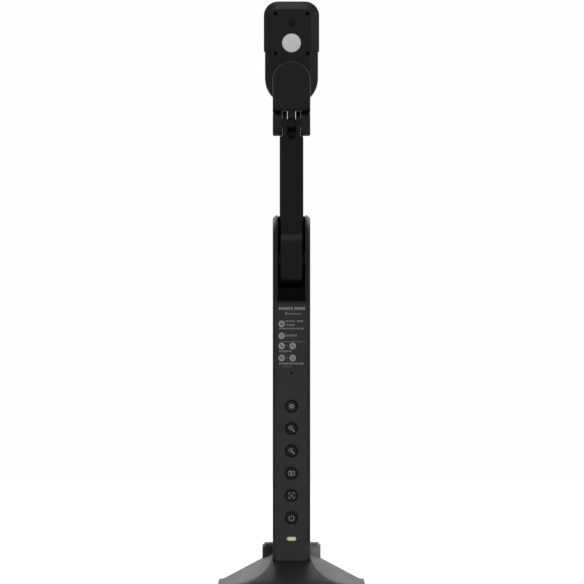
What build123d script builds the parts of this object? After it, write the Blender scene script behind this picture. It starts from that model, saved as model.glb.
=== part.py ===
"""Folding document camera: a weighted base, a column with buttons, an arm, a neck and a swivelling head.

Millimetres. The origin is on the floor under the middle of the base, the front is -Y and up is +Z.
Every piece is modelled where it sits with the camera standing upright.
"""
from build123d import *
import math
import os

os.makedirs("parts", exist_ok=True)

# ---------------------------------------------------------------- driving dimensions

# axes of the three tilting hinges (along X, at y = 0) and of the head's swivel (along Y)
base_pivot_z = 18.5
arm_pivot_z = 181.4
neck_pivot_z = 258.7
swivel_z = 282.5

# base: a tent-shaped casting with a ramp in front and a channel behind
base_width, base_depth, base_corner_radius = 82.0, 66.0, 5.0
trim_stock = 1.0
foot_height, foot_radius = 0.6, 4.5
foot_places = [(x, y) for x in (-29.0, 29.0) for y in (-18.0, 18.0)]
rim_top_z, ridge_z = 1.2, 17.1
ridge_half_width, toe_half_width, crease_power = 10.9, 26.0, 2.25
loft_steps, weight_loft_steps = 20, 10
ramp_run, ramp_power = 26.0, 1.1
ramp_crest_z = 13.3
channel_half_width, channel_floor_z = 10.58, 4.4
trough_clearance = 0.35
ear_radius, ear_outer_x, ear_chamfer = 5.0, 16.3, 1.7
ear_foot_z, ear_foot_depth = 11.0, 17.0
ear_washer_seat_x, ear_bore_end_x = 11.3, 15.2
plate_width, plate_depth, plate_corner_radius, plate_thickness = 74.0, 54.0, 12.0, 0.8
plate_top_z = foot_height + plate_thickness
weight_inner_x, weight_skin, weight_fit = 17.0, 2.0, 0.2
base_screw_places = [(x, y) for x in (-13.9, 13.9) for y in (-17.0, 17.0)]
base_screw_tip_z = 6.5
base_screw_radius, base_screw_head_radius, base_screw_head_height = 1.05, 2.1, 0.45

# column: two half shells, forked at the top
column_half_width, column_half_depth = 10.5, 13.0
column_foot_radius, column_top_z, column_chamfer, column_edge_radius = 13.96, 206.9, 1.7, 0.5
column_top_back_y, taper_bottom_z, taper_top_z = 17.0, 75.0, 150.0
wall, seam_gap = 1.8, 0.02
fork_half_width, fork_floor_z, fork_back_y = 7.75, 158.6, 15.4
cavity_top_z = 155.5
column_screw_places = [(x, z) for x in (-5.6, 5.6) for z in (31.0, 149.0)]
screw_head_depth = 2.4
vent_z, vent_pitch, vent_count = 104.0, 4.0, 4

# controls on the column's front face
button_names = ["power", "focus", "capture", "zoom_out", "zoom_in", "brightness"]
lowest_button_z, button_pitch = 37.5, 12.48
cap_radius, button_hole_radius, dish_radius, dish_depth = 3.1, 3.4, 4.1, 0.6
light_z, light_width, light_height = 25.8, 5.0, 2.0
microphone_z, microphone_hole_radius = 118.7, 0.65
label_bottom_z, label_top_z, label_half_width, label_thickness = 120.8, 157.4, 8.0, 0.15

# boards and sockets inside the column
board_front_y, board_thickness = -6.4, 1.6
board_bottom_z, board_top_z, board_half_width = 23.0, 122.0, 8.2
port_board_y, port_board_bottom_z, port_board_top_z = 0.3, 40.0, 72.0
socket_back_y, socket_mouth_y, socket_depth = 1.95, 12.8, 9.6
hdmi_z, usb_z = 48.0, 63.0

# arm: two half shells with a knuckle below and two prongs above
arm_half_width, arm_half_depth = 6.65, 6.65
arm_knuckle_radius, arm_knuckle_height, arm_knuckle_z = 11.0, 32.0, 182.4
arm_shoulder_z = 251.25
prong_half_width, prong_gap_half_width, prong_radius = 5.15, 2.4, 6.6
prong_slot_floor_z, prong_slot_back_y, prong_slot_back_z = 249.4, 4.3, 258.0
arm_cavity_half_width, arm_cavity_bottom_z, arm_cavity_top_z = 4.5, 198.0, 245.0
arm_screw_x, arm_screw_zs = -2.7, (207.0, 236.0)
arm_bush_radius, neck_bush_radius = 3.8, 3.2
arm_cable_x, arm_cable_radius = 2.6, 1.2

# neck: a yoke with two ears and a middle knuckle under a round-topped plate
neck_half_width, neck_barrel_radius = 10.55, 7.3
neck_front_y, neck_seam_y, neck_back_y = -7.7, -5.7, 7.7
neck_plate_bottom_z, neck_lip_chamfer = 265.5, 1.3
neck_ear_inner_x, neck_boss_inner_x, neck_web_front_y = 5.5, 5.2, -3.0
neck_knuckle_half_width, neck_knuckle_radius, neck_stalk_depth = 2.2, 4.2, 6.4
neck_boss_radius = 7.2

# head: a bevelled housing that narrows to a round tail about the swivel
head_front_y, head_bevel_back_y, head_seam_y, head_back_y = 8.2, 11.9, 18.0, 28.0
head_top_z, head_step_z, head_tail_z = 327.6, 299.7, 284.4
head_half_width, head_tail_half_width, head_corner_radius = 15.6, 14.95, 8.1
head_bevel_width, head_back_bevel = 4.5, 3.0
head_wall = 1.8
head_screw_places = [(x, z) for x in (-9.0, 9.0) for z in (298.1, 320.6)]
head_post_radius = 2.0
lens_z, lens_radius, lens_lip = 315.0, 2.1, 1.1
lens_barrel_radius, lens_barrel_bore = 4.4, 2.7
lamp_z, lamp_radius, lamp_lip = 304.1, 5.25, 0.7
sensor_board_y, sensor_board_thickness, sensor_half_width = 15.5, 1.2, 1.8
lamp_board_y, lamp_board_radius, lamp_board_thickness = 12.2, 6.2, 1.0
led_circle_radius, led_width, led_height = 2.8, 1.6, 0.7

# pins and fits
base_pin_radius, arm_pin_radius, neck_pin_radius = 2.0, 2.5, 2.2
base_cap_radius, arm_cap_radius, neck_cap_radius = 2.8, 4.5, 4.2
pin_chamfer, cap_chamfer = 0.3, 0.25
fork_bore_end_x, neck_bore_end_x = 9.7, 9.7
base_washer_radius, arm_washer_radius, swivel_washer_radius = 4.5, 4.4, 8.5
fixed_fit, running_fit, cap_fit = 0.03, 0.06, 0.05
swivel_shaft_radius, swivel_bore_radius = 5.0, 3.0
shaft_flange_back_y, shaft_flange_thickness, shaft_flange_radius, shaft_end_y = 3.0, 1.6, 6.8, 13.2
ring_groove_y, ring_groove_width, ring_groove_radius, ring_radius, ring_gap = 10.4, 0.8, 4.4, 6.3, 5.0


# ---------------------------------------------------------------- shared helpers

def block(x, y, z, mode=Mode.ADD):
    """Box between the two limits given along each axis."""
    with Locations(tuple((low + high) / 2 for low, high in (x, y, z))):
        Box(x[1] - x[0], y[1] - y[0], z[1] - z[0], mode=mode)


def x_rod(radius, low, high, z, mode=Mode.ADD):
    """Cylinder along X, from low to high, on the column's middle plane."""
    with Locations(Location(((low + high) / 2, 0, z), (0, 90, 0))):
        Cylinder(radius, high - low, mode=mode)


def x_rod_pair(radius, low, high, z, mode=Mode.ADD):
    """Cylinder along X and its mirror image on the other side."""
    x_rod(radius, low, high, z, mode)
    x_rod(radius, -high, -low, z, mode)


def y_rod(radius, low, high, x, z, mode=Mode.ADD):
    """Cylinder along Y, from low to high."""
    with Locations(Location((x, (low + high) / 2, z), (90, 0, 0))):
        Cylinder(radius, high - low, mode=mode)


def cross_screw(x, z, tip_y, seat_y, head_y, shank_radius, head_radius):
    """Screw along Y from its tip to the outer face of its head, which has a cross recess."""
    y_rod(shank_radius, min(tip_y, seat_y), max(tip_y, seat_y), x, z)
    y_rod(head_radius, min(seat_y, head_y), max(seat_y, head_y), x, z)
    recess_length, recess_width, recess_share = 0.64 * head_radius, 0.13 * head_radius, 0.4
    recess_y = sorted((head_y + recess_share * (seat_y - head_y), 2 * head_y - seat_y))
    for half_x, half_z in ((recess_length, recess_width), (recess_width, recess_length)):
        block((x - half_x, x + half_x), recess_y, (z - half_z, z + half_z), Mode.SUBTRACT)


def chamfer_ends(part, length):
    """Chamfer the rims of the outermost faces at both ends of a part that lies along X."""
    end_faces = part.faces().filter_by(Axis.X).sort_by(Axis.X)
    chamfer([edge for face in (end_faces[0], end_faces[-1]) for edge in face.edges()], length)


# ================================================================ base

def crease(rise):
    """Half-width, depth behind the toe and height of the ramp's edge; rise runs from 0 (toe) to 1 (ridge)."""
    half_width = ridge_half_width + (toe_half_width - ridge_half_width) * (1 - rise) ** crease_power
    return half_width, ramp_run * rise ** ramp_power, rim_top_z + (ridge_z - rim_top_z) * rise


def wing_height(rise, x):
    """Height of the base's upper surface at x: level out to the crease, then straight down to the rim."""
    half_width, _, height = crease(rise)
    return height - max(0, x - half_width) * (height - rim_top_z) / (base_width / 2 - half_width)


def section_plane(rise):
    """Upright plane across the base where the crease has risen by rise."""
    return Plane.XZ.offset(base_depth / 2 - crease(rise)[1])


def base_section(rise):
    """Cross-section of the base, level in the middle and sloping to the rim, with stock outside to trim."""
    half_width, _, height = crease(rise)
    stock_x = base_width / 2 + trim_stock
    with BuildSketch(section_plane(rise)) as section:
        with BuildLine():
            right = [(stock_x, foot_height - trim_stock), (stock_x, wing_height(rise, stock_x)),
                     (half_width, height)]
            left = [(-x, z) for x, z in reversed(right)]
            Polyline(*right, *left, close=True)
        make_face()
    return section.sketch


def weight_section(rise, clearance):
    """Cross-section of the right-hand weight, which follows the wing a skin's thickness below it."""
    half_width, _, height = crease(rise)
    run_per_rise = (base_width / 2 - half_width) / (height - rim_top_z)
    edge_height = 0.2
    outer_x = base_width / 2 - (plate_top_z + edge_height + weight_skin - rim_top_z) * run_per_rise
    inner_x = weight_inner_x - clearance
    knee_x = max(half_width, weight_inner_x + 0.5)
    with BuildSketch(section_plane(rise)) as section:
        with BuildLine():
            Polyline((inner_x, plate_top_z - trim_stock), (outer_x + clearance, plate_top_z - trim_stock),
                     (outer_x + clearance, plate_top_z + edge_height + clearance),
                     (knee_x, wing_height(rise, knee_x) - weight_skin + clearance),
                     (inner_x, wing_height(rise, weight_inner_x) - weight_skin + clearance), close=True)
        make_face()
    return section.sketch


ridge_half_length = base_depth / 2 - ramp_run

with BuildPart() as hinge_ear:
    with BuildSketch(Plane.YZ.offset(channel_half_width)):
        with Locations((0, base_pivot_z)):
            Circle(ear_radius)
        with Locations((0, ear_foot_z)):
            Rectangle(ear_foot_depth, 1.0)
        make_hull()
    extrude(amount=ear_outer_x - ear_chamfer - channel_half_width)
    extrude(hinge_ear.faces().sort_by(Axis.X)[-1], amount=ear_chamfer, taper=40)

weight_toe_rise, pocket_toe_rise = 0.3, 0.29
weight_rises = [weight_toe_rise + (1 - weight_toe_rise) * step / weight_loft_steps
                for step in range(1, weight_loft_steps + 1)]

with BuildPart() as base_weight_right:
    weight_sections = [weight_section(rise, -weight_fit) for rise in [weight_toe_rise] + weight_rises]
    loft(sections=weight_sections, ruled=True)
    mirror(about=Plane.XZ)
    extrude(weight_section(1.0, -weight_fit), amount=-2 * ridge_half_length)
    block((0, base_width), (-base_depth, base_depth), (plate_top_z + 0.05, ridge_z), Mode.INTERSECT)
base_weight_right.part.label = "base_weight_right"
export_step(base_weight_right.part, "parts/base_weight_right.step")

with BuildPart() as base_weight_left:
    add(mirror(base_weight_right.part, about=Plane.YZ, mode=Mode.PRIVATE))
base_weight_left.part.label = "base_weight_left"
export_step(base_weight_left.part, "parts/base_weight_left.step")

with BuildPart() as weight_pockets:
    pocket_sections = [weight_section(rise, weight_fit) for rise in [pocket_toe_rise] + weight_rises]
    loft(sections=pocket_sections, ruled=True)
    mirror(about=Plane.XZ)
    extrude(weight_section(1.0, weight_fit), amount=-2 * ridge_half_length)
    mirror(about=Plane.YZ)

with BuildPart() as base_cover:
    loft(sections=[base_section((step / loft_steps) ** 1.5) for step in range(loft_steps + 1)], ruled=True)
    mirror(about=Plane.XZ)
    extrude(base_section(1.0), amount=-2 * ridge_half_length)
    with BuildSketch(Plane.XY.offset(foot_height)):
        RectangleRounded(base_width, base_depth, base_corner_radius)
    extrude(amount=ridge_z, mode=Mode.INTERSECT)
    add(hinge_ear.part)
    add(mirror(hinge_ear.part, about=Plane.YZ, mode=Mode.PRIVATE))
    # trough that the column's round foot turns in, and the channel it lies back in
    x_rod(column_foot_radius + trough_clearance, -channel_half_width, channel_half_width, base_pivot_z,
          Mode.SUBTRACT)
    channel_x = (-channel_half_width, channel_half_width)
    block(channel_x, (-base_depth, base_depth), (ramp_crest_z, 30), Mode.SUBTRACT)
    block(channel_x, (0, base_depth), (channel_floor_z, 30), Mode.SUBTRACT)
    # underside: recess for the plate, pockets for the weights, screw holes
    with BuildSketch(Plane.XY.offset(foot_height)):
        RectangleRounded(plate_width + 0.3, plate_depth + 0.3, plate_corner_radius)
    extrude(amount=plate_thickness, mode=Mode.SUBTRACT)
    add(weight_pockets.part, mode=Mode.SUBTRACT)
    with BuildSketch(Plane.XY.offset(plate_top_z)):
        with Locations(*base_screw_places):
            Circle(base_screw_radius + cap_fit)
    extrude(amount=base_screw_tip_z + 0.4 - plate_top_z, mode=Mode.SUBTRACT)
    # hinge bores, washer recesses and cap recesses in the ears
    x_rod_pair(base_pin_radius + fixed_fit, 10, ear_bore_end_x, base_pivot_z, Mode.SUBTRACT)
    x_rod_pair(base_washer_radius + 0.2, 10, ear_washer_seat_x, base_pivot_z, Mode.SUBTRACT)
    x_rod_pair(base_cap_radius + cap_fit, ear_bore_end_x, ear_outer_x + 1, base_pivot_z, Mode.SUBTRACT)
base_cover.part.label = "base_cover"
export_step(base_cover.part, "parts/base_cover.step")

with BuildPart() as base_plate:
    with BuildSketch(Plane.XY.offset(foot_height)):
        RectangleRounded(plate_width, plate_depth, plate_corner_radius)
        with Locations(*base_screw_places):
            Circle(base_screw_radius + 0.2, mode=Mode.SUBTRACT)
    extrude(amount=plate_thickness)
base_plate.part.label = "base_plate"
export_step(base_plate.part, "parts/base_plate.step")

with BuildPart() as rubber_feet:
    with BuildSketch():
        with Locations(*foot_places):
            Circle(foot_radius)
    extrude(amount=foot_height)
    chamfer(rubber_feet.faces().sort_by(Axis.Z)[:4].edges(), 0.15)
rubber_feet.part.label = "rubber_feet"
export_step(rubber_feet.part, "parts/rubber_feet.step")

with BuildPart() as base_plate_screws:
    with BuildSketch(Plane.XY.offset(foot_height - base_screw_head_height)):
        with Locations(*base_screw_places):
            Circle(base_screw_head_radius)
    extrude(amount=base_screw_head_height)
    with BuildSketch(Plane.XY.offset(foot_height - base_screw_head_height)):
        with Locations(*base_screw_places):
            RegularPolygon(0.9, 6)
    extrude(amount=base_screw_head_height - 0.15, mode=Mode.SUBTRACT)
    with BuildSketch(Plane.XY.offset(foot_height)):
        with Locations(*base_screw_places):
            Circle(base_screw_radius)
    extrude(amount=base_screw_tip_z - foot_height)
base_plate_screws.part.label = "base_plate_screws"
export_step(base_plate_screws.part, "parts/base_plate_screws.step")

with BuildPart() as base_hinge_pin:
    x_rod(base_pin_radius, 0.1 - ear_bore_end_x, ear_bore_end_x - 0.1, base_pivot_z)
    chamfer_ends(base_hinge_pin, pin_chamfer)
base_hinge_pin.part.label = "base_hinge_pin"
export_step(base_hinge_pin.part, "parts/base_hinge_pin.step")

with BuildPart() as base_hinge_washers:
    x_rod_pair(base_washer_radius, column_half_width + running_fit, ear_washer_seat_x - running_fit,
               base_pivot_z)
    x_rod(base_pin_radius + fixed_fit, -12, 12, base_pivot_z, Mode.SUBTRACT)
base_hinge_washers.part.label = "base_hinge_washers"
export_step(base_hinge_washers.part, "parts/base_hinge_washers.step")

with BuildPart() as base_hinge_caps:
    x_rod_pair(base_cap_radius, ear_bore_end_x + cap_fit, ear_outer_x, base_pivot_z)
    chamfer_ends(base_hinge_caps, cap_chamfer)
base_hinge_caps.part.label = "base_hinge_caps"
export_step(base_hinge_caps.part, "parts/base_hinge_caps.step")

# ================================================================ column

button_zs = [lowest_button_z + place * button_pitch for place in range(len(button_names))]


def column_back_y(z):
    """Place of the column's back face, which slopes out between its two tapers."""
    share = min(1, max(0, (z - taper_bottom_z) / (taper_top_z - taper_bottom_z)))
    return column_half_depth + share * (column_top_back_y - column_half_depth)


def column_profile(inset, top_z):
    """Side view of the column, drawn in by inset, from its round foot to a level top."""
    half_depth, top_back_y = column_half_depth - inset, column_top_back_y - inset
    foot_radius = column_foot_radius - inset
    foot_z = base_pivot_z - math.sqrt(foot_radius ** 2 - half_depth ** 2)
    with BuildSketch(Plane.YZ) as profile:
        with BuildLine():
            ThreePointArc((-half_depth, foot_z), (0, base_pivot_z - foot_radius), (half_depth, foot_z))
            Polyline((half_depth, foot_z), (half_depth, taper_bottom_z), (top_back_y, taper_top_z),
                     (top_back_y, top_z), (-half_depth, top_z), (-half_depth, foot_z))
        make_face()
        fillet(profile.vertices().group_by(Axis.Y)[0], 2.0)
        if inset == 0:
            top_corners = profile.vertices().group_by(Axis.Y)[-1].sort_by(Axis.X)
            fillet(top_corners[0], half_depth - 0.1)
            fillet(profile.vertices().group_by(Axis.Y)[-1].sort_by(Axis.X)[-1], 3.0)
    return profile.sketch


with BuildPart() as column_shell:
    extrude(column_profile(0, column_top_z), amount=column_half_width, both=True)
    chamfer(column_shell.faces().filter_by(Axis.X).edges(), column_chamfer)
    fillet(column_shell.faces().filter_by(Axis.X).edges(), column_edge_radius)
    chamfer_x = column_half_width - column_chamfer
    fillet([edge for edge in column_shell.edges() if abs(abs(edge.center().X) - chamfer_x) < 0.01],
           column_edge_radius)
    block((-fork_half_width, fork_half_width), (-20, fork_back_y), (fork_floor_z, column_top_z + 1),
          Mode.SUBTRACT)
    extrude(column_profile(wall, cavity_top_z), amount=column_half_width - wall, both=True,
            mode=Mode.SUBTRACT)
    # holes for the two hinge pins, and recesses for the caps over the upper one
    x_rod(base_pin_radius + 0.3, -12, 12, base_pivot_z, Mode.SUBTRACT)
    x_rod(arm_pin_radius + fixed_fit, -fork_bore_end_x, fork_bore_end_x, arm_pivot_z, Mode.SUBTRACT)
    x_rod_pair(arm_cap_radius + cap_fit, fork_bore_end_x, column_half_width + 1, arm_pivot_z, Mode.SUBTRACT)


def port_outline(y, z, grow=0.0):
    """Outline of the wide socket, level on top and cut off at its lower corners, enlarged by grow."""
    side, top, corner_x, corner_z = 7.5 + grow, 2.8 + grow, 6.2 + grow, -0.8 - grow
    with BuildSketch(Plane.XZ.offset(-y)) as outline:
        with BuildLine():
            Polyline((side, z + top), (-side, z + top), (-side, z + corner_z),
                     (-corner_x, z - top), (corner_x, z - top), (side, z + corner_z), close=True)
        make_face()
    return outline.sketch


def slot_outline(y, z, length, height):
    """Outline of a slot with round ends, lying across the column."""
    with BuildSketch(Plane.XZ.offset(-y)) as outline:
        with Locations((0, z)):
            SlotOverall(length, height)
    return outline.sketch


with BuildPart() as column_front_cover:
    add(column_shell.part)
    split(bisect_by=Plane.XZ.offset(seam_gap / 2), keep=Keep.TOP)
    for x, z in column_screw_places:
        y_rod(2.1, -column_half_depth + wall - 0.1, -seam_gap / 2, x, z)
        y_rod(0.95, -9.5, 1, x, z, Mode.SUBTRACT)
    for z in button_zs:
        y_rod(button_hole_radius, -14, -10, 0, z, Mode.SUBTRACT)
        with Locations(Location((0, -column_half_depth + dish_depth / 2, z), (90, 0, 0))):
            Cone(button_hole_radius, dish_radius, dish_depth, mode=Mode.SUBTRACT)
    light_hole = slot_outline(-column_half_depth, light_z, light_width + 0.2, light_height + 0.2)
    extrude(light_hole, amount=-wall - 0.5, mode=Mode.SUBTRACT)
    y_rod(microphone_hole_radius, -14, -10, 0, microphone_z, Mode.SUBTRACT)
    block((-label_half_width - 0.1, label_half_width + 0.1), (-14, -column_half_depth + label_thickness),
          (label_bottom_z - 0.1, label_top_z + 0.1), Mode.SUBTRACT)
column_front_cover.part.label = "column_front_cover"
export_step(column_front_cover.part, "parts/column_front_cover.step")

with BuildPart() as column_rear_cover:
    add(column_shell.part)
    split(bisect_by=Plane.XZ.offset(-seam_gap / 2), keep=Keep.BOTTOM)
    for x, z in column_screw_places:
        back_y = column_back_y(z)
        y_rod(2.5, seam_gap / 2, back_y - wall + 0.1, x, z)
        y_rod(1.1, -1, back_y + 1, x, z, Mode.SUBTRACT)
        y_rod(2.0, back_y - screw_head_depth, back_y + 1, x, z, Mode.SUBTRACT)
    extrude(port_outline(column_half_depth + 0.5, hdmi_z, 0.25), amount=wall + 1, mode=Mode.SUBTRACT)
    extrude(slot_outline(column_half_depth + 0.5, usb_z, 9.4, 3.6), amount=wall + 1, mode=Mode.SUBTRACT)
    for place in range(vent_count):
        vent = slot_outline(column_top_back_y, vent_z + place * vent_pitch, 10.0, 1.2)
        extrude(vent, amount=column_top_back_y - column_half_depth + wall, mode=Mode.SUBTRACT)
column_rear_cover.part.label = "column_rear_cover"
export_step(column_rear_cover.part, "parts/column_rear_cover.step")

with BuildPart() as column_screws:
    for x, z in column_screw_places:
        seat_y = column_back_y(z) - screw_head_depth + 0.05
        cross_screw(x, z, -8.5, seat_y, seat_y + 1.3, 0.9, 1.85)
column_screws.part.label = "column_screws"
export_step(column_screws.part, "parts/column_screws.step")

with BuildPart() as column_hinge_sleeve:
    x_rod(6.0, -8.65, 8.65, base_pivot_z)
    x_rod(base_pin_radius + running_fit, -9, 9, base_pivot_z, Mode.SUBTRACT)
column_hinge_sleeve.part.label = "column_hinge_sleeve"
export_step(column_hinge_sleeve.part, "parts/column_hinge_sleeve.step")

with BuildPart() as main_board:
    block((-board_half_width, board_half_width), (board_front_y, board_front_y + board_thickness),
          (board_bottom_z, board_top_z))
    for side in (-1, 1):
        notch_x = sorted((side * 3.2, side * 9))
        block(notch_x, (-8, -3), (28.4, 33.6), Mode.SUBTRACT)
main_board.part.label = "main_board"
export_step(main_board.part, "parts/main_board.step")

with BuildPart() as tact_switches:
    for z in button_zs:
        block((-3, 3), (board_front_y - 2.2, board_front_y), (z - 3, z + 3))
        y_rod(1.6, -9.4, board_front_y - 2.2, 0, z)
tact_switches.part.label = "tact_switches"
export_step(tact_switches.part, "parts/tact_switches.step")

with BuildPart() as status_led:
    block((-1.6, 1.6), (board_front_y - 0.9, board_front_y), (light_z - 0.8, light_z + 0.8))
status_led.part.label = "status_led"
export_step(status_led.part, "parts/status_led.step")

with BuildPart() as status_light_pipe:
    extrude(slot_outline(-column_half_depth - 0.05, light_z, light_width, light_height), amount=-5.5)
    block((-3.6, 3.6), (-11.15, -10.4), (light_z - 1.6, light_z + 1.6))
status_light_pipe.part.label = "status_light_pipe"
export_step(status_light_pipe.part, "parts/status_light_pipe.step")

with BuildPart() as microphone:
    block((-1.8, 1.8), (board_front_y - 1.2, board_front_y), (microphone_z - 1.4, microphone_z + 1.4))
    y_rod(0.4, -9, board_front_y - 0.9, 0, microphone_z, Mode.SUBTRACT)
microphone.part.label = "microphone"
export_step(microphone.part, "parts/microphone.step")

with BuildPart() as port_board:
    block((-board_half_width, board_half_width), (port_board_y, port_board_y + board_thickness),
          (port_board_bottom_z, port_board_top_z))
port_board.part.label = "port_board"
export_step(port_board.part, "parts/port_board.step")

with BuildPart() as board_connector:
    block((-6, 6), (board_front_y + board_thickness, port_board_y), (54, 57.5))
board_connector.part.label = "board_connector"
export_step(board_connector.part, "parts/board_connector.step")

with BuildPart() as hdmi_socket:
    extrude(port_outline(socket_back_y, hdmi_z), amount=socket_back_y - socket_mouth_y)
    extrude(port_outline(socket_mouth_y, hdmi_z, -0.4), amount=socket_depth, mode=Mode.SUBTRACT)
    block((-5.6, 5.6), (socket_back_y + 1, socket_mouth_y - 1), (hdmi_z - 0.1, hdmi_z + 1.2))
hdmi_socket.part.label = "hdmi_socket"
export_step(hdmi_socket.part, "parts/hdmi_socket.step")

with BuildPart() as usb_socket:
    extrude(slot_outline(socket_back_y, usb_z, 9.0, 3.2), amount=socket_back_y - socket_mouth_y)
    extrude(slot_outline(socket_mouth_y, usb_z, 8.3, 2.5), amount=socket_depth, mode=Mode.SUBTRACT)
    block((-3.3, 3.3), (socket_back_y + 1, socket_mouth_y - 0.8), (usb_z - 0.35, usb_z + 0.35))
usb_socket.part.label = "usb_socket"
export_step(usb_socket.part, "parts/usb_socket.step")

with BuildPart() as instruction_label:
    block((-label_half_width, label_half_width), (-column_half_depth, -column_half_depth + label_thickness),
          (label_bottom_z, label_top_z))
    fillet(instruction_label.edges().filter_by(Axis.Y), 1.0)
instruction_label.part.label = "instruction_label"
export_step(instruction_label.part, "parts/instruction_label.step")

for name, z in zip(button_names, button_zs):
    with BuildPart() as button:
        y_rod(cap_radius, -12.85, -11.0, 0, z)
        fillet(button.faces().sort_by(Axis.Y)[0].edges(), 0.45)
        y_rod(cap_radius + 1.2, -11.05, -10.6, 0, z)
        y_rod(1.6, -10.6, -10.0, 0, z)
    button.part.label = f"button_{name}"
    export_step(button.part, f"parts/button_{name}.step")

with BuildPart() as arm_hinge_pin:
    x_rod(arm_pin_radius, cap_fit - fork_bore_end_x, fork_bore_end_x - cap_fit, arm_pivot_z)
    chamfer_ends(arm_hinge_pin, pin_chamfer)
arm_hinge_pin.part.label = "arm_hinge_pin"
export_step(arm_hinge_pin.part, "parts/arm_hinge_pin.step")

with BuildPart() as arm_hinge_washers:
    x_rod_pair(arm_washer_radius, arm_half_width + 0.1, fork_half_width - cap_fit, arm_pivot_z)
    x_rod(arm_pin_radius + fixed_fit, -9, 9, arm_pivot_z, Mode.SUBTRACT)
arm_hinge_washers.part.label = "arm_hinge_washers"
export_step(arm_hinge_washers.part, "parts/arm_hinge_washers.step")

with BuildPart() as arm_hinge_caps:
    x_rod_pair(arm_cap_radius, fork_bore_end_x + cap_fit, column_half_width, arm_pivot_z)
    chamfer_ends(arm_hinge_caps, cap_chamfer)
arm_hinge_caps.part.label = "arm_hinge_caps"
export_step(arm_hinge_caps.part, "parts/arm_hinge_caps.step")

# ================================================================ arm

with BuildPart() as arm_shell:
    with BuildSketch(Plane.YZ) as bar_profile:
        with Locations((0, arm_knuckle_z)):
            SlotOverall(arm_knuckle_height, 2 * arm_knuckle_radius, rotation=90)
        with Locations((0, arm_pivot_z)):
            Rectangle(2 * arm_half_depth, arm_shoulder_z - arm_pivot_z, align=(Align.CENTER, Align.MIN))
        fillet(bar_profile.vertices().group_by(Axis.Y)[-2], 3.0)
    extrude(amount=arm_half_width, both=True)
    fillet(arm_shell.faces().filter_by(Axis.X).edges(), 0.9)
    # narrower end with the two prongs that hold the neck's middle knuckle
    with BuildSketch(Plane.YZ):
        with Locations((0, neck_pivot_z)):
            Circle(prong_radius)
            Rectangle(2 * prong_radius, neck_pivot_z - arm_shoulder_z + 2, align=(Align.CENTER, Align.MAX))
    extrude(amount=prong_half_width, both=True)
    with BuildSketch(Plane.XZ.offset(10)):
        with Locations((0, prong_slot_floor_z + prong_gap_half_width)):
            Circle(prong_gap_half_width)
            Rectangle(2 * prong_gap_half_width, 20, align=(Align.CENTER, Align.MIN))
    extrude(amount=-10 - prong_slot_back_y, mode=Mode.SUBTRACT)
    block((-prong_gap_half_width, prong_gap_half_width), (-10, 10), (prong_slot_back_z, 270), Mode.SUBTRACT)
    # hollow for the lead, and bores for the bushes
    cavity_width = (-arm_cavity_half_width, arm_cavity_half_width)
    block(cavity_width, cavity_width, (arm_cavity_bottom_z, arm_cavity_top_z), Mode.SUBTRACT)
    x_rod(arm_bush_radius + fixed_fit, -10, 10, arm_pivot_z, Mode.SUBTRACT)
    x_rod(neck_bush_radius + fixed_fit, -10, 10, neck_pivot_z, Mode.SUBTRACT)

with BuildPart() as arm_front_shell:
    add(arm_shell.part)
    split(bisect_by=Plane.XZ.offset(seam_gap / 2), keep=Keep.TOP)
    for z in arm_screw_zs:
        y_rod(1.7, -arm_cavity_half_width - 0.1, -seam_gap / 2, arm_screw_x, z)
        y_rod(0.75, -4.2, 1, arm_screw_x, z, Mode.SUBTRACT)
arm_front_shell.part.label = "arm_front_shell"
export_step(arm_front_shell.part, "parts/arm_front_shell.step")

with BuildPart() as arm_rear_shell:
    add(arm_shell.part)
    split(bisect_by=Plane.XZ.offset(-seam_gap / 2), keep=Keep.BOTTOM)
    for z in arm_screw_zs:
        y_rod(2.1, seam_gap / 2, arm_cavity_half_width + 0.1, arm_screw_x, z)
        y_rod(0.85, -1, 10, arm_screw_x, z, Mode.SUBTRACT)
        y_rod(1.6, 5.0, 10, arm_screw_x, z, Mode.SUBTRACT)
arm_rear_shell.part.label = "arm_rear_shell"
export_step(arm_rear_shell.part, "parts/arm_rear_shell.step")

with BuildPart() as arm_screws:
    for z in arm_screw_zs:
        cross_screw(arm_screw_x, z, -3.9, 5.05, 6.0, 0.7, 1.5)
arm_screws.part.label = "arm_screws"
export_step(arm_screws.part, "parts/arm_screws.step")

with BuildPart() as arm_hinge_bush:
    x_rod(arm_bush_radius, -arm_half_width, arm_half_width, arm_pivot_z)
    x_rod(arm_pin_radius + running_fit, -10, 10, arm_pivot_z, Mode.SUBTRACT)
arm_hinge_bush.part.label = "arm_hinge_bush"
export_step(arm_hinge_bush.part, "parts/arm_hinge_bush.step")

with BuildPart() as neck_hinge_bushes:
    x_rod_pair(neck_bush_radius, prong_gap_half_width, prong_half_width, neck_pivot_z)
    x_rod(neck_pin_radius + running_fit, -10, 10, neck_pivot_z, Mode.SUBTRACT)
neck_hinge_bushes.part.label = "neck_hinge_bushes"
export_step(neck_hinge_bushes.part, "parts/neck_hinge_bushes.step")

with BuildPart() as arm_cable:
    with Locations((arm_cable_x, 0, (arm_cavity_bottom_z + arm_cavity_top_z) / 2)):
        Cylinder(arm_cable_radius, arm_cavity_top_z - arm_cavity_bottom_z - 0.2)
arm_cable.part.label = "arm_cable"
export_step(arm_cable.part, "parts/arm_cable.step")

# ================================================================ neck

def neck_outline(y):
    """The neck's plate seen from the front: straight sides under a round top about the swivel."""
    with BuildSketch(Plane.XZ.offset(-y)) as outline:
        with Locations((0, swivel_z)):
            Circle(neck_half_width)
            Rectangle(2 * neck_half_width, swivel_z - neck_plate_bottom_z, align=(Align.CENTER, Align.MAX))
    return outline.sketch


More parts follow.
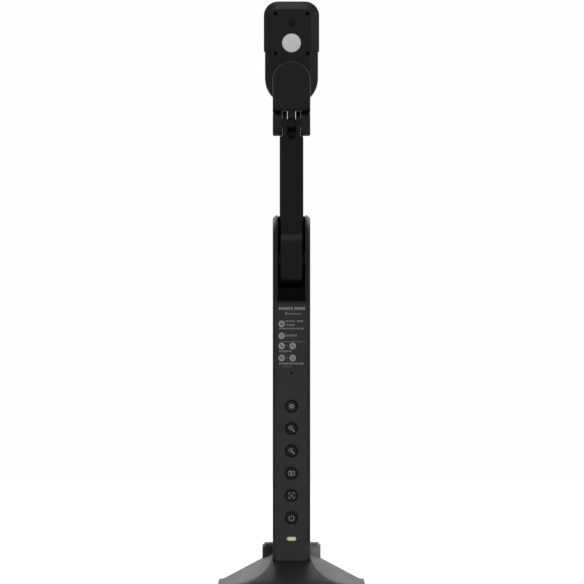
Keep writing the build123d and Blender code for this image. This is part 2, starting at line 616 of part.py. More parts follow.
with BuildPart() as neck_ear:
    with BuildSketch(Plane.YZ.offset(neck_ear_inner_x)):
        with Locations((0, neck_pivot_z)):
            Circle(neck_barrel_radius)
    extrude(amount=neck_half_width - neck_ear_inner_x)
    fillet(neck_ear.faces().sort_by(Axis.X)[-1].edges(), 0.9)
    block((neck_ear_inner_x, neck_half_width), (neck_web_front_y, neck_barrel_radius),
          (neck_pivot_z, neck_plate_bottom_z + 1))
    # low boss that runs against the arm's prong
    x_rod(neck_boss_radius, neck_boss_inner_x, neck_ear_inner_x + 1, neck_pivot_z)

with BuildPart() as neck_yoke:
    extrude(neck_outline(neck_seam_y + 0.05), amount=neck_seam_y + 0.05 - neck_back_y)
    add(neck_ear.part)
    add(mirror(neck_ear.part, about=Plane.YZ, mode=Mode.PRIVATE))
    with BuildSketch(Plane.YZ):
        with Locations((0, neck_pivot_z)):
            Circle(neck_knuckle_radius)
        with Locations((0, neck_pivot_z)):
            Rectangle(neck_stalk_depth, neck_plate_bottom_z + 1 - neck_pivot_z,
                      align=(Align.CENTER, Align.MIN))
    extrude(amount=neck_knuckle_half_width, both=True)
    x_rod(neck_pin_radius + fixed_fit, -neck_bore_end_x, neck_bore_end_x, neck_pivot_z, Mode.SUBTRACT)
    x_rod_pair(neck_cap_radius + cap_fit, neck_bore_end_x, neck_half_width + 1, neck_pivot_z, Mode.SUBTRACT)
    # seat for the swivel shaft, put in from the front
    y_rod(shaft_flange_radius + 0.2, -6, shaft_flange_back_y, 0, swivel_z, Mode.SUBTRACT)
    y_rod(swivel_shaft_radius + fixed_fit, -6, 10, 0, swivel_z, Mode.SUBTRACT)
neck_yoke.part.label = "neck_yoke"
export_step(neck_yoke.part, "parts/neck_yoke.step")

with BuildPart() as neck_front_cover:
    extrude(neck_outline(neck_seam_y), amount=neck_seam_y - neck_front_y)
    front_edges = neck_front_cover.faces().sort_by(Axis.Y)[0].edges()
    chamfer(front_edges.sort_by(Axis.Z)[0], neck_lip_chamfer)
    front_face = neck_front_cover.faces().filter_by(Axis.Y).sort_by(Axis.Y)[0]
    fillet(front_face.edges().sort_by(Axis.Z)[1:], 0.7)
neck_front_cover.part.label = "neck_front_cover"
export_step(neck_front_cover.part, "parts/neck_front_cover.step")

with BuildPart() as neck_hinge_pin:
    x_rod(neck_pin_radius, 0.1 - neck_bore_end_x, neck_bore_end_x - 0.1, neck_pivot_z)
    chamfer_ends(neck_hinge_pin, pin_chamfer)
neck_hinge_pin.part.label = "neck_hinge_pin"
export_step(neck_hinge_pin.part, "parts/neck_hinge_pin.step")

with BuildPart() as neck_hinge_caps:
    x_rod_pair(neck_cap_radius, neck_bore_end_x + cap_fit, neck_half_width, neck_pivot_z)
    chamfer_ends(neck_hinge_caps, cap_chamfer)
neck_hinge_caps.part.label = "neck_hinge_caps"
export_step(neck_hinge_caps.part, "parts/neck_hinge_caps.step")

with BuildPart() as swivel_shaft:
    y_rod(shaft_flange_radius, shaft_flange_back_y - shaft_flange_thickness, shaft_flange_back_y, 0, swivel_z)
    y_rod(swivel_shaft_radius, shaft_flange_back_y, shaft_end_y, 0, swivel_z)
    y_rod(swivel_bore_radius, 0, 20, 0, swivel_z, Mode.SUBTRACT)
    with BuildSketch(Plane.XZ.offset(-ring_groove_y)):
        with Locations((0, swivel_z)):
            Circle(swivel_shaft_radius + 1)
            Circle(ring_groove_radius, mode=Mode.SUBTRACT)
    extrude(amount=-ring_groove_width, mode=Mode.SUBTRACT)
swivel_shaft.part.label = "swivel_shaft"
export_step(swivel_shaft.part, "parts/swivel_shaft.step")

with BuildPart() as swivel_retaining_ring:
    with BuildSketch(Plane.XZ.offset(-ring_groove_y - 0.05)):
        with Locations((0, swivel_z)):
            Circle(ring_radius)
            Circle(ring_groove_radius + 0.05, mode=Mode.SUBTRACT)
            Rectangle(ring_gap, ring_radius + 1, align=(Align.CENTER, Align.MAX), mode=Mode.SUBTRACT)
    extrude(amount=0.1 - ring_groove_width)
swivel_retaining_ring.part.label = "swivel_retaining_ring"
export_step(swivel_retaining_ring.part, "parts/swivel_retaining_ring.step")

with BuildPart() as swivel_washer:
    y_rod(swivel_washer_radius, neck_back_y + 0.05, head_front_y - 0.05, 0, swivel_z)
    y_rod(swivel_shaft_radius + running_fit, 0, 20, 0, swivel_z, Mode.SUBTRACT)
swivel_washer.part.label = "swivel_washer"
export_step(swivel_washer.part, "parts/swivel_washer.step")

# ================================================================ head

def head_outline(y, inset):
    """The head seen from the front, drawn in by inset: a round tail, then a step to a wider top."""
    side, tail = head_half_width - inset, head_tail_half_width - inset
    top, step = head_top_z - inset, head_step_z
    corner = max(head_corner_radius - inset, 1.0)
    bend = corner * (1 - math.sqrt(0.5))
    with BuildSketch(Plane.XZ.offset(-y)) as outline:
        with BuildLine():
            Polyline((tail, head_tail_z), (tail, step), (side, step), (side, top - corner))
            ThreePointArc((side, top - corner), (side - bend, top - bend), (side - corner, top))
            Line((side - corner, top), (corner - side, top))
            ThreePointArc((corner - side, top), (bend - side, top - bend), (-side, top - corner))
            Polyline((-side, top - corner), (-side, step), (-tail, step), (-tail, head_tail_z))
            ThreePointArc((-tail, head_tail_z), (0, head_tail_z - tail), (tail, head_tail_z))
        make_face()
    return outline.sketch


with BuildPart() as head_front_shell:
    loft(sections=[head_outline(head_front_y, head_bevel_width), head_outline(head_bevel_back_y, 0)],
         ruled=True)
    extrude(head_outline(head_bevel_back_y, 0), amount=head_bevel_back_y - head_seam_y + seam_gap / 2)
    # hollow, in two widths that follow the bevel
    hollow_step_y = head_bevel_back_y + 1.5
    extrude(head_outline(hollow_step_y, head_wall), amount=hollow_step_y - head_seam_y, mode=Mode.SUBTRACT)
    extrude(head_outline(head_front_y + head_wall, head_bevel_width + head_wall),
            amount=head_front_y - head_bevel_back_y, mode=Mode.SUBTRACT)
    for x, z in head_screw_places:
        y_rod(head_post_radius, head_front_y + 1, head_seam_y - seam_gap / 2, x, z)
        y_rod(0.9, head_front_y - 1, 20, x, z, Mode.SUBTRACT)
        y_rod(1.25, head_front_y - 1, head_front_y + 1.6, x, z, Mode.SUBTRACT)
    y_rod(lens_radius, 0, 12, 0, lens_z, Mode.SUBTRACT)
    y_rod(lens_radius + lens_lip + 0.05, head_front_y + 0.8, 12, 0, lens_z, Mode.SUBTRACT)
    y_rod(lamp_radius + 0.05, 0, 12, 0, lamp_z, Mode.SUBTRACT)
    y_rod(lamp_radius + lamp_lip + 0.1, head_front_y + 1.2, 12, 0, lamp_z, Mode.SUBTRACT)
    y_rod(swivel_shaft_radius + running_fit, 0, 12, 0, swivel_z, Mode.SUBTRACT)
head_front_shell.part.label = "head_front_shell"
export_step(head_front_shell.part, "parts/head_front_shell.step")

with BuildPart() as head_rear_shell:
    back_bevel_y = head_back_y - head_back_bevel
    loft(sections=[head_outline(back_bevel_y, 0), head_outline(head_back_y, head_back_bevel)], ruled=True)
    extrude(head_outline(back_bevel_y, 0), amount=back_bevel_y - head_seam_y - seam_gap / 2)
    extrude(head_outline(head_seam_y, head_wall), amount=head_seam_y - back_bevel_y + 0.5, mode=Mode.SUBTRACT)
    extrude(head_outline(head_seam_y, head_wall + head_back_bevel),
            amount=head_seam_y - head_back_y + head_wall, mode=Mode.SUBTRACT)
    for x, z in head_screw_places:
        y_rod(head_post_radius, head_seam_y + seam_gap / 2, head_back_y - head_wall + 0.1, x, z)
        y_rod(0.75, head_seam_y - 1, head_seam_y + 5, x, z, Mode.SUBTRACT)
head_rear_shell.part.label = "head_rear_shell"
export_step(head_rear_shell.part, "parts/head_rear_shell.step")

with BuildPart() as head_screws:
    for x, z in head_screw_places:
        cross_screw(x, z, head_seam_y + 4.5, head_front_y + 1.55, head_front_y + 0.8, 0.7, 1.2)
head_screws.part.label = "head_screws"
export_step(head_screws.part, "parts/head_screws.step")

with BuildPart() as lens_window:
    y_rod(lens_radius + lens_lip, head_front_y + 0.85, head_front_y + 1.6, 0, lens_z)
lens_window.part.label = "lens_window"
export_step(lens_window.part, "parts/lens_window.step")

with BuildPart() as lens_barrel:
    y_rod(lens_barrel_radius, head_front_y + head_wall + 0.05, sensor_board_y - 0.05, 0, lens_z)
    y_rod(lens_barrel_bore, 0, 20, 0, lens_z, Mode.SUBTRACT)
lens_barrel.part.label = "lens_barrel"
export_step(lens_barrel.part, "parts/lens_barrel.step")

with BuildPart() as lens_element:
    y_rod(lens_barrel_bore - 0.05, 11.2, 12.8, 0, lens_z)
    fillet(lens_element.faces().sort_by(Axis.Y)[0].edges(), 1.2)
lens_element.part.label = "lens_element"
export_step(lens_element.part, "parts/lens_element.step")

with BuildPart() as sensor_board:
    block((-6.5, 6.5), (sensor_board_y, sensor_board_y + sensor_board_thickness), (lens_z - 6.5, lens_z + 8))
sensor_board.part.label = "sensor_board"
export_step(sensor_board.part, "parts/sensor_board.step")

with BuildPart() as image_sensor:
    block((-sensor_half_width, sensor_half_width), (sensor_board_y - 0.8, sensor_board_y),
          (lens_z - sensor_half_width, lens_z + sensor_half_width))
image_sensor.part.label = "image_sensor"
export_step(image_sensor.part, "parts/image_sensor.step")

with BuildPart() as lamp_diffuser:
    y_rod(lamp_radius, head_front_y + 0.1, head_front_y + 1.25, 0, lamp_z)
    fillet(lamp_diffuser.faces().sort_by(Axis.Y)[0].edges(), 0.3)
    y_rod(lamp_radius + lamp_lip, head_front_y + 1.25, head_front_y + 1.9, 0, lamp_z)
lamp_diffuser.part.label = "lamp_diffuser"
export_step(lamp_diffuser.part, "parts/lamp_diffuser.step")

with BuildPart() as lamp_board:
    y_rod(lamp_board_radius, lamp_board_y, lamp_board_y + lamp_board_thickness, 0, lamp_z)
lamp_board.part.label = "lamp_board"
export_step(lamp_board.part, "parts/lamp_board.step")

with BuildPart() as lamp_leds:
    with BuildSketch(Plane.XZ.offset(-lamp_board_y)):
        with Locations((0, lamp_z)):
            with PolarLocations(led_circle_radius, 4):
                Rectangle(led_width, led_width)
    extrude(amount=led_height)
lamp_leds.part.label = "lamp_leds"
export_step(lamp_leds.part, "parts/lamp_leds.step")
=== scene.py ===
import math

import bmesh
import bpy
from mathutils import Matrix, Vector


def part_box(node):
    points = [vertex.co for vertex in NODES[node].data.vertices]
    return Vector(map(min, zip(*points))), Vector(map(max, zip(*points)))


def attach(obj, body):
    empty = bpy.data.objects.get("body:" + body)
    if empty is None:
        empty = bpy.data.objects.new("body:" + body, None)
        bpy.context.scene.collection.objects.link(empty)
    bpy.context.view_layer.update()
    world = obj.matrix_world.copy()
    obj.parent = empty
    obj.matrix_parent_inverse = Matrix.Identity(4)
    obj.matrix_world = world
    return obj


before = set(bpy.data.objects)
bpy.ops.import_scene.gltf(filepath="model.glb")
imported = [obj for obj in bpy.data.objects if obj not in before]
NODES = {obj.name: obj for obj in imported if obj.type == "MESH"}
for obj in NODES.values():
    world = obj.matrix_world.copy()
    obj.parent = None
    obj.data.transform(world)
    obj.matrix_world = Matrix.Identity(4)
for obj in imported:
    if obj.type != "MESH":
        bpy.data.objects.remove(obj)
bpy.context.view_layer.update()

MM = 0.001
BLEND = 0.3 * MM                # how softly a colour let into a surface ends
INK_THICKNESS = 0.03            # mm
LABEL_MARGIN = 0.5 * MM         # from the label's top edge to where its marks are measured from
SYMBOL_RADIUS = 1.8             # mm, round symbols on the label
GLYPH_SCALE = 0.6               # of the button icons, for the label's glyphs
INLAY_HALF_WIDTH, INLAY_TOP = 8.8 * MM, 157.4 * MM

FLOOR_HALF_SIZE, FLOOR_SEGMENTS, FLOOR_DROP = 1.6, 24, 0.0002
FLOOR_LIGHT, BACKDROP_LIGHT = 0.25, 0.991
VIEW_DISTANCE, VIEW_HEIGHT, VIEW_SHIFT = 3.0, 0.1638, 0.00028
PICTURE_SIZE, SCALE = 584, 0.5615 * MM      # pixels, and metres that one of them shows

# ---------------------------------------------------------------- materials


def link(tree, source, target):
    tree.links.new(source, target)


def noise(tree, coords, size_mm, detail):
    """Noise whose features are about size_mm across."""
    node = tree.nodes.new("ShaderNodeTexNoise")
    node.inputs["Scale"].default_value = 1 / (size_mm * MM)
    node.inputs["Detail"].default_value = detail
    link(tree, coords, node.inputs["Vector"])
    return node.outputs[0]


def spread_out(tree, value, low, high, source=(0.3, 0.7)):
    """Maps value from the source range to low..high."""
    node = tree.nodes.new("ShaderNodeMapRange")
    for socket, number in zip(("From Min", "From Max", "To Min", "To Max"), (*source, low, high)):
        node.inputs[socket].default_value = number
    link(tree, value, node.inputs["Value"])
    return node.outputs[0]


def mixed(tree, factor, first, second):
    """Colour mixed from first to second; each is a colour or another node's output."""
    node = tree.nodes.new("ShaderNodeMix")
    node.data_type = "RGBA"
    link(tree, factor, node.inputs[0])
    for socket, value in ((node.inputs[6], first), (node.inputs[7], second)):
        if isinstance(value, bpy.types.NodeSocket):
            link(tree, value, socket)
        else:
            socket.default_value = (*value, 1)
    return node.outputs[2]


def multiplied(tree, first, second):
    node = tree.nodes.new("ShaderNodeMath")
    node.operation = "MULTIPLY"
    link(tree, first, node.inputs[0])
    link(tree, second, node.inputs[1])
    return node.outputs[0]


def scaled(colour, share):
    return tuple(min(1, channel * share) for channel in colour)


def edge_mask(tree, radius_mm):
    """1 along convex and concave edges, 0 on open faces."""
    bevel = tree.nodes.new("ShaderNodeBevel")
    bevel.samples = 6
    bevel.inputs["Radius"].default_value = radius_mm * MM
    geometry = tree.nodes.new("ShaderNodeNewGeometry")
    dot = tree.nodes.new("ShaderNodeVectorMath")
    dot.operation = "DOT_PRODUCT"
    link(tree, bevel.outputs[0], dot.inputs[0])
    link(tree, geometry.outputs["Normal"], dot.inputs[1])
    return spread_out(tree, dot.outputs["Value"], 1, 0, (0.8, 0.99))


def surface(name, colour, roughness, grain_mm=0.3, relief_mm=0.004, mottle=0.12, rough_spread=0.06,
            blotch_mm=7.0, metallic=0.0, specular=0.5, wear=0.0, wear_radius_mm=0.35, stretch=(1, 1, 1),
            inlay=None):
    """A material with mottled colour, uneven gloss, fine relief and, where wear is given, rubbed edges.

    inlay is the colour, half-width and top, in metres, of an upright panel let into the surface."""
    made = bpy.data.materials.new(name)
    made.use_nodes = True
    tree = made.node_tree
    shader = tree.nodes["Principled BSDF"]
    coords = places = tree.nodes.new("ShaderNodeTexCoord").outputs["Object"]
    if stretch != (1, 1, 1):
        mapping = tree.nodes.new("ShaderNodeMapping")
        mapping.inputs["Scale"].default_value = stretch
        link(tree, coords, mapping.inputs["Vector"])
        coords = mapping.outputs[0]
    blotches = noise(tree, coords, blotch_mm, 4)
    grain = noise(tree, coords, grain_mm, 2)
    base = mixed(tree, spread_out(tree, blotches, 0, 1), scaled(colour, 1 - mottle),
                 scaled(colour, 1 + mottle))
    if inlay:
        inlay_colour, half_width, top = inlay
        axes = tree.nodes.new("ShaderNodeSeparateXYZ")
        link(tree, places, axes.inputs[0])
        from_middle = tree.nodes.new("ShaderNodeMath")
        from_middle.operation = "ABSOLUTE"
        link(tree, axes.outputs["X"], from_middle.inputs[0])
        across = spread_out(tree, from_middle.outputs[0], 1, 0, (half_width, half_width + BLEND))
        upwards = spread_out(tree, axes.outputs["Z"], 1, 0, (top, top + BLEND))
        inside = multiplied(tree, across, upwards)
        patch = mixed(tree, spread_out(tree, blotches, 0, 1), scaled(inlay_colour, 1 - mottle),
                      scaled(inlay_colour, 1 + mottle))
        base = mixed(tree, inside, base, patch)
    base = mixed(tree, spread_out(tree, grain, 0, 0.2), base, scaled(colour, 1 + 2 * mottle))
    if wear:
        worn = multiplied(tree, edge_mask(tree, wear_radius_mm),
                          spread_out(tree, blotches, 0.3 * wear, wear))
        base = mixed(tree, worn, base, tuple(0.5 * channel + 0.04 for channel in colour))
    link(tree, base, shader.inputs["Base Color"])
    smudges = noise(tree, coords, 2.3 * blotch_mm, 3)
    link(tree, spread_out(tree, smudges, roughness - rough_spread, roughness + rough_spread),
         shader.inputs["Roughness"])
    bump = tree.nodes.new("ShaderNodeBump")
    bump.inputs["Distance"].default_value = relief_mm * MM
    link(tree, grain, bump.inputs["Height"])
    link(tree, bump.outputs[0], shader.inputs["Normal"])
    shader.inputs["Metallic"].default_value = metallic
    shader.inputs["Specular IOR Level"].default_value = specular
    return made


def glowing(made, strength, centre, edge, middle, half_size):
    """Adds light to a material, from centre's colour to edge's away from the middle point."""
    tree = made.node_tree
    shader = tree.nodes["Principled BSDF"]
    coords = tree.nodes.new("ShaderNodeTexCoord").outputs["Object"]
    mapping = tree.nodes.new("ShaderNodeMapping")
    mapping.vector_type = "TEXTURE"
    mapping.inputs["Location"].default_value = middle
    mapping.inputs["Scale"].default_value = half_size
    link(tree, coords, mapping.inputs["Vector"])
    gradient = tree.nodes.new("ShaderNodeTexGradient")
    gradient.gradient_type = "SPHERICAL"
    link(tree, mapping.outputs[0], gradient.inputs["Vector"])
    link(tree, mixed(tree, spread_out(tree, gradient.outputs[1], 0, 1, (0, 0.7)), edge, centre),
         shader.inputs["Emission Color"])
    shader.inputs["Emission Strength"].default_value = strength


def grey(level, warmth=0.0):
    return (level * (1 + warmth), level, level * (1 - warmth))


panel = surface("panel_black", grey(0.011), 0.40, relief_mm=0.002, wear=0.12,
                inlay=(grey(0.062, 0.01), INLAY_HALF_WIDTH, INLAY_TOP))
back_shell = surface("column_back_black", grey(0.014), 0.5, grain_mm=0.45, relief_mm=0.02, wear=0.25)
arm_black = surface("arm_black", grey(0.0065), 0.4, grain_mm=0.35, relief_mm=0.006, specular=0.4,
                    wear=0.08)
neck_black = surface("neck_black", grey(0.011), 0.42, grain_mm=0.35, relief_mm=0.005, wear=0.2)
head_black = surface("head_black", grey(0.011), 0.42, grain_mm=0.4, relief_mm=0.006, wear=0.15)
base_black = surface("base_paint_black", (0.019, 0.019, 0.021), 0.32, grain_mm=0.9, relief_mm=0.006,
                     mottle=0.18, wear=0.15)
cap_black = surface("button_black", grey(0.008), 0.45, grain_mm=0.25, relief_mm=0.003, wear=0.1,
                    wear_radius_mm=0.2)
hinge_cap_black = surface("hinge_cap_black", grey(0.013), 0.4, relief_mm=0.003, wear=0.2)
label_film = surface("label_film", grey(0.055), 0.5, grain_mm=0.2, relief_mm=0.001, mottle=0.06)
bright_steel = surface("bright_steel", grey(0.52), 0.28, grain_mm=0.25, relief_mm=0.002, metallic=1,
                       stretch=(0.12, 1, 1))
plate_steel = surface("plate_steel", grey(0.42), 0.4, grain_mm=0.3, relief_mm=0.003, metallic=1,
                      stretch=(0.08, 1, 1), wear=0.3)
socket_steel = surface("socket_steel", grey(0.5), 0.3, grain_mm=0.2, relief_mm=0.002, metallic=1,
                       stretch=(1, 0.15, 1))
black_steel = surface("black_steel", (0.03, 0.03, 0.034), 0.35, grain_mm=0.2, relief_mm=0.003,
                      metallic=0.8, wear=0.8, wear_radius_mm=0.12)
recess_black = surface("recessed_screw_black", grey(0.005), 0.5, grain_mm=0.2, relief_mm=0.003,
                       specular=0.12, wear=0.3, wear_radius_mm=0.1)
iron = surface("cast_iron", (0.11, 0.105, 0.1), 0.62, grain_mm=0.7, relief_mm=0.06, mottle=0.25,
               metallic=0.7)
rubber = surface("foot_rubber", grey(0.018), 0.85, grain_mm=0.3, relief_mm=0.02, specular=0.3)
jacket = surface("cable_jacket", grey(0.02), 0.7, grain_mm=0.3, relief_mm=0.008, specular=0.35)
board_green = surface("circuit_board_green", (0.015, 0.1, 0.045), 0.35, grain_mm=1.3, relief_mm=0.01,
                      mottle=0.3)
component_black = surface("component_black", grey(0.025), 0.5, grain_mm=0.2, relief_mm=0.004)
phosphor = surface("led_phosphor", (0.82, 0.72, 0.25), 0.4, grain_mm=0.15, relief_mm=0.004)
lens_glass = surface("lens_glass", (0.003, 0.003, 0.004), 0.05, grain_mm=2, relief_mm=0.0002,
                     rough_spread=0.02, specular=0.3, mottle=0.3)
diffuser = surface("lamp_diffuser", grey(0.80), 0.45, grain_mm=0.25, relief_mm=0.002, mottle=0.03)
status_lens = surface("status_lens", (0.5, 0.55, 0.3), 0.3, grain_mm=0.4, relief_mm=0.001, mottle=0.05)
low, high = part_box("status_light_pipe")
glowing(status_lens, 0.5, (0.66, 0.70, 0.44), (0.42, 0.52, 0.05), (low + high) / 2,
        (0.004, 0.012, 0.002))
low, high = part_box("lamp_diffuser")
glowing(diffuser, 0.22, (1, 1, 1), (0.96, 0.96, 0.98), (low + high) / 2, (0.006, 0.006, 0.006))

LOOKS = {
    panel: ["column_front_cover"],
    back_shell: ["column_rear_cover"],
    arm_black: ["arm_front_shell", "arm_rear_shell"],
    neck_black: ["neck_yoke", "neck_front_cover"],
    head_black: ["head_front_shell", "head_rear_shell"],
    base_black: ["base_cover"],
    cap_black: ["button_brightness", "button_zoom_in", "button_zoom_out", "button_capture", "button_focus",
                "button_power"],
    hinge_cap_black: ["base_hinge_caps", "arm_hinge_caps", "neck_hinge_caps"],
    label_film: ["instruction_label"],
    bright_steel: ["base_hinge_pin", "arm_hinge_pin", "column_hinge_sleeve", "arm_hinge_bush",
                   "neck_hinge_bushes", "swivel_shaft", "swivel_retaining_ring"],
    plate_steel: ["base_plate"],
    socket_steel: ["hdmi_socket", "usb_socket"],
    black_steel: ["base_plate_screws", "column_screws", "arm_screws", "neck_hinge_pin"],
    recess_black: ["head_screws"],
    iron: ["base_weight_left", "base_weight_right"],
    rubber: ["rubber_feet"],
    jacket: ["arm_cable"],
    board_green: ["main_board", "port_board", "sensor_board", "lamp_board"],
    component_black: ["tact_switches", "microphone", "board_connector", "image_sensor", "lens_barrel",
                      "swivel_washer", "base_hinge_washers", "arm_hinge_washers"],
    phosphor: ["status_led", "lamp_leds"],
    lens_glass: ["lens_window", "lens_element"],
    diffuser: ["lamp_diffuser"],
    status_lens: ["status_light_pipe"],
}
for look, names in LOOKS.items():
    for name in names:
        NODES[name].material_slots[0].material = look

# ---------------------------------------------------------------- printed marks, as thin raised ink

ink = surface("printed_ink", grey(0.48), 0.5, grain_mm=0.2, relief_mm=0.001, mottle=0.08)
symbol_ink = surface("symbol_ink", grey(0.68), 0.5, grain_mm=0.2, relief_mm=0.001, mottle=0.08)
label_ink = surface("label_ink", grey(0.35), 0.5, grain_mm=0.2, relief_mm=0.001, mottle=0.08)


def bar(x, z, width, height, turn=0.0):
    """Corners of a rectangle about (x, z), turned by turn degrees."""
    c, s = math.cos(math.radians(turn)), math.sin(math.radians(turn))
    corners = [(-width / 2, -height / 2), (width / 2, -height / 2), (width / 2, height / 2),
               (-width / 2, height / 2)]
    return [[(x + c * u - s * v, z + s * u + c * v) for u, v in corners]]


def polar(radius, angle):
    """The point at radius from the middle, angle degrees round from +x."""
    return radius * math.cos(math.radians(angle)), radius * math.sin(math.radians(angle))


def arc(x, z, outer, inner, start=0.0, end=360.0, steps=36):
    """Quads of a ring, or of part of one from start to end degrees."""
    def point(radius, angle):
        across, up = polar(radius, angle)
        return (x + across, z + up)
    angles = [start + (end - start) * step / steps for step in range(steps + 1)]
    return [[point(inner, a), point(outer, a), point(outer, b), point(inner, b)]
            for a, b in zip(angles, angles[1:])]


def disc(x, z, radius, steps=36):
    angles = [math.tau * step / steps for step in range(steps)]
    return [[(x + radius * math.cos(a), z + radius * math.sin(a)) for a in angles]]


def marks(name, body, shapes, middle_x, middle_z, surface_y, look, slot, scale=1.0, lift=0.0):
    """Thin closed pieces of ink on a face that looks to -Y; shapes are in mm about the middle."""
    built = bmesh.new()
    back_y = surface_y - lift * MM
    front_y = back_y - INK_THICKNESS * MM
    for outline in shapes:
        places = [(middle_x + x * scale * MM, middle_z + z * scale * MM) for x, z in outline]
        front = [built.verts.new((x, front_y, z)) for x, z in places]
        back = [built.verts.new((x, back_y, z)) for x, z in places]
        built.faces.new(front)
        built.faces.new(back[::-1])
        for first, second in zip(range(len(front)), [*range(1, len(front)), 0]):
            built.faces.new((front[second], front[first], back[first], back[second]))
    bmesh.ops.remove_doubles(built, verts=built.verts, dist=1e-7)
    # a wall between two quads of one ring is inside it
    inner = [face for face in built.faces if all(len(edge.link_faces) > 2 for edge in face.edges)]
    bmesh.ops.delete(built, geom=inner, context="FACES_ONLY")
    bmesh.ops.recalc_face_normals(built, faces=built.faces)
    mesh = bpy.data.meshes.new(name)
    built.to_mesh(mesh)
    built.free()
    mesh.materials.append(look)
    piece = bpy.data.objects.new(name, mesh)
    bpy.context.scene.collection.objects.link(piece)
    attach(piece, body)
    return piece


def magnifier(sign):
    shapes = arc(-0.45, 0.5, 1.15, 0.8) + bar(1.0, -1.05, 1.9, 0.75, -45) + bar(-0.45, 0.5, 0.9, 0.24)
    return shapes + (bar(-0.45, 0.5, 0.24, 0.9) if sign == "+" else [])


ICONS = {
    "brightness": arc(0, 0, 1.15, 0.5) + [
        quad for turn in range(0, 360, 45) for quad in bar(*polar(1.55, turn), 0.45, 0.3, turn)],
    "zoom_in": magnifier("+"),
    "zoom_out": magnifier("-"),
    "capture": (bar(0, 0.95, 3.6, 0.4) + bar(0, -1.1, 3.6, 0.4) + bar(-1.65, -0.08, 0.35, 2.1)
                + bar(1.65, -0.08, 0.35, 2.1) + arc(0, -0.08, 0.75, 0.35) + bar(-0.8, 1.3, 1.0, 0.35)),
    "focus": [quad for sx in (-1, 1) for sz in (-1, 1)
              for quad in bar(sx * 1.1, sz * 1.55, 0.9, 0.4) + bar(sx * 1.55, sz * 1.1, 0.4, 0.9)]
             + arc(0, 0, 0.85, 0.42, 0, 360, 4),
    "power": arc(0, -0.15, 1.6, 1.15, 125, 415, 30) + bar(0, 0.85, 0.42, 1.5),
}
for name, shapes in ICONS.items():
    low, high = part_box(f"button_{name}")
    middle = (low + high) / 2
    marks(f"icon_{name}", f"button_{name}", shapes, middle.x, middle.z, low.y, ink, "button_cap")

# label: rows of plain dashes and round symbols, in mm from the label's top left corner
low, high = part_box("instruction_label")
label_left, label_top, label_y = low.x, high.z - LABEL_MARGIN, low.y


def dashes(x, z, widths, height, gap=0.28):
    """A row of blocks that starts at x."""
    shapes = []
    for width in widths:
        shapes += bar(x + width / 2, z, width, height)
        x += width + gap
    return shapes


heading = (dashes(0.9, -2.3, (0.9, 0.8, 1.0, 0.8, 0.9, 0.9), 1.5, 0.22) + bar(8.2, -2.3, 1.0, 1.5)
           + dashes(9.6, -2.3, (1.0, 0.9, 1.1, 1.0, 1.1), 1.5, 0.22))
rows = (bar(4.9, -4.9, 0.9, 1.7) + dashes(5.6, -5.3, (1.2, 1.0, 1.4, 1.2, 1.5), 0.7)
        + dashes(4.7, -9.4, (1.4, 1.2, 1.4), 1.0) + bar(9.9, -9.5, 1.1, 0.4)
        + dashes(11.0, -9.4, (1.3, 1.7), 1.0)
        + dashes(5.0, -11.5, (1.5, 1.2, 1.5), 1.0)
        + dashes(0.9, -13.5, (1.4, 2.1, 1.5, 1.8, 1.4, 2.1, 2.0), 0.8)
        + dashes(4.8, -17.4, (1.4, 1.2, 1.6, 1.3), 1.1)
        + dashes(1.0, -26.2, (1.6, 1.3, 1.8, 1.4), 1.0)
        + dashes(1.0, -33.1, (1.6, 1.8, 1.4, 1.8, 1.6, 1.9, 1.9), 1.1)
        + bar(5.2, -34.9, 4.2, 0.25))
divider = bar(8.3, -20.9, 14.0, 0.3)
plus_signs = [quad for z in (-23.3, -30.0) for quad in bar(5.7, z, 1.0, 0.32) + bar(5.7, z, 0.32, 1.0)]
marks("label_heading", "column", heading, label_left, label_top, label_y, ink, "label_film")
marks("label_rows", "column", rows + divider + plus_signs, label_left, label_top, label_y, label_ink,
      "label_film")
SYMBOLS = {"brightness": (2.5, -10.9), "focus": (2.5, -17.6), "zoom_in": (2.5, -23.3),
           "zoom_out": (8.7, -23.3), "capture": (2.5, -30.0), "power": (8.7, -30.0)}
for name, (x, z) in SYMBOLS.items():
    place = (label_left + x * MM, label_top + z * MM, label_y)
    marks(f"label_symbol_{name}", "column", disc(0, 0, SYMBOL_RADIUS), *place, symbol_ink, "label_film")
    marks(f"label_glyph_{name}", "column", ICONS[name], *place, label_film, "label_film", GLYPH_SCALE,
          INK_THICKNESS)

# ---------------------------------------------------------------- floor, light and camera

# looks white, but lights the object less than a white floor would
floor_look = surface("pale_floor", grey(0.12), 0.7, grain_mm=1.5, relief_mm=0.01, mottle=0.02,
                     specular=0.1)
tree = floor_look.node_tree
shader = tree.nodes["Principled BSDF"]
seen_directly = tree.nodes.new("ShaderNodeLightPath").outputs["Is Camera Ray"]
link(tree, mixed(tree, seen_directly, grey(FLOOR_LIGHT), grey(1)), shader.inputs["Emission Color"])
shader.inputs["Emission Strength"].default_value = 1.0
built = bmesh.new()
bmesh.ops.create_grid(built, x_segments=FLOOR_SEGMENTS, y_segments=FLOOR_SEGMENTS,
                      size=FLOOR_HALF_SIZE)
floor_mesh = bpy.data.meshes.new("floor")
built.to_mesh(floor_mesh)
built.free()
floor_mesh.materials.append(floor_look)
floor = bpy.data.objects.new("floor", floor_mesh)
floor.location.z = -FLOOR_DROP
bpy.context.scene.collection.objects.link(floor)

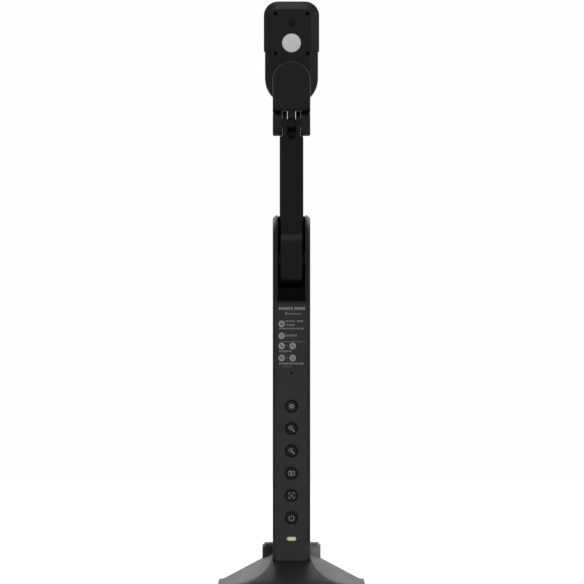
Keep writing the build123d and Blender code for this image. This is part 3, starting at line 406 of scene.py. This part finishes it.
# surroundings: bright behind the object, dim in front, above and at the sides
world = bpy.data.worlds.new("studio")
world.use_nodes = True
bpy.context.scene.world = world
tree = world.node_tree
background = tree.nodes["Background"]
direction = tree.nodes.new("ShaderNodeTexCoord").outputs["Generated"]
axes = tree.nodes.new("ShaderNodeSeparateXYZ")
link(tree, direction, axes.inputs[0])
towards_back = tree.nodes.new("ShaderNodeValToRGB")
stops = towards_back.color_ramp.elements
stops[0].position, stops[0].color = 0.0, (0.32, 0.32, 0.32, 1)
stops[1].position, stops[1].color = 1.0, (0.35, 0.35, 0.35, 1)
for position, level in ((0.30, 0.24), (0.42, 0.08), (0.57, 0.08), (0.66, 0.6), (0.76, 2.4), (0.91, 1.5)):
    stop = stops.new(position)
    stop.color = (level, level, level, 1)
link(tree, spread_out(tree, axes.outputs["Y"], 0, 1, (-1, 1)), towards_back.inputs[0])
seen_directly = tree.nodes.new("ShaderNodeLightPath").outputs["Is Camera Ray"]
link(tree, mixed(tree, seen_directly, towards_back.outputs[0], grey(BACKDROP_LIGHT)),
     background.inputs["Color"])


def set_up(light, place, aim):
    """Puts light at place, facing aim, unseen by the camera."""
    lamp = bpy.data.objects.new(light.name, light)
    lamp.location = place
    lamp.visible_camera = False
    lamp.rotation_euler = (Vector(aim) - Vector(place)).to_track_quat("-Z", "Y").to_euler()
    bpy.context.scene.collection.objects.link(lamp)
    return lamp


def softbox(name, place, aim, width, height, radiance, spread=math.pi):
    """Rectangular light at place, facing aim; radiance is what a mirror would show."""
    light = bpy.data.lights.new(name, "AREA")
    light.shape = "RECTANGLE"
    light.size, light.size_y = width, height
    light.energy = radiance * width * height * math.pi
    light.spread = spread
    set_up(light, place, aim)


softbox("overhead", (0, -0.12, 0.75), (0, 0, 0.30), 0.33, 0.2, 1.45)
softbox("head_rim", (0.60, 0.30, 0.42), (0, 0, 0.322), 0.08, 0.08, 0.22, math.radians(9))

# a narrow beam on the right ear of the base, without a glint
ear_light = bpy.data.lights.new("ear_light", "SPOT")
ear_light.energy = 130
ear_light.shadow_soft_size = 0.005
ear_light.spot_size, ear_light.spot_blend = math.radians(1), 0.4
ear_lamp = set_up(ear_light, (0.266, -0.476, 0.09), (0.0145, -0.006, 0.0187))
ear_lamp.visible_glossy = False

camera = bpy.data.cameras.new("camera")
camera.sensor_width = 36
camera.lens = camera.sensor_width * VIEW_DISTANCE / (PICTURE_SIZE * SCALE)
camera.clip_start, camera.clip_end = 0.05, 50
eye = bpy.data.objects.new("camera", camera)
eye.location = (VIEW_SHIFT, -VIEW_DISTANCE, VIEW_HEIGHT)
eye.rotation_euler = (math.radians(90), 0, 0)
bpy.context.scene.collection.objects.link(eye)
bpy.context.scene.camera = eye
bpy.context.scene.view_settings.view_transform = "Standard"
bpy.context.scene.view_settings.look = "None"
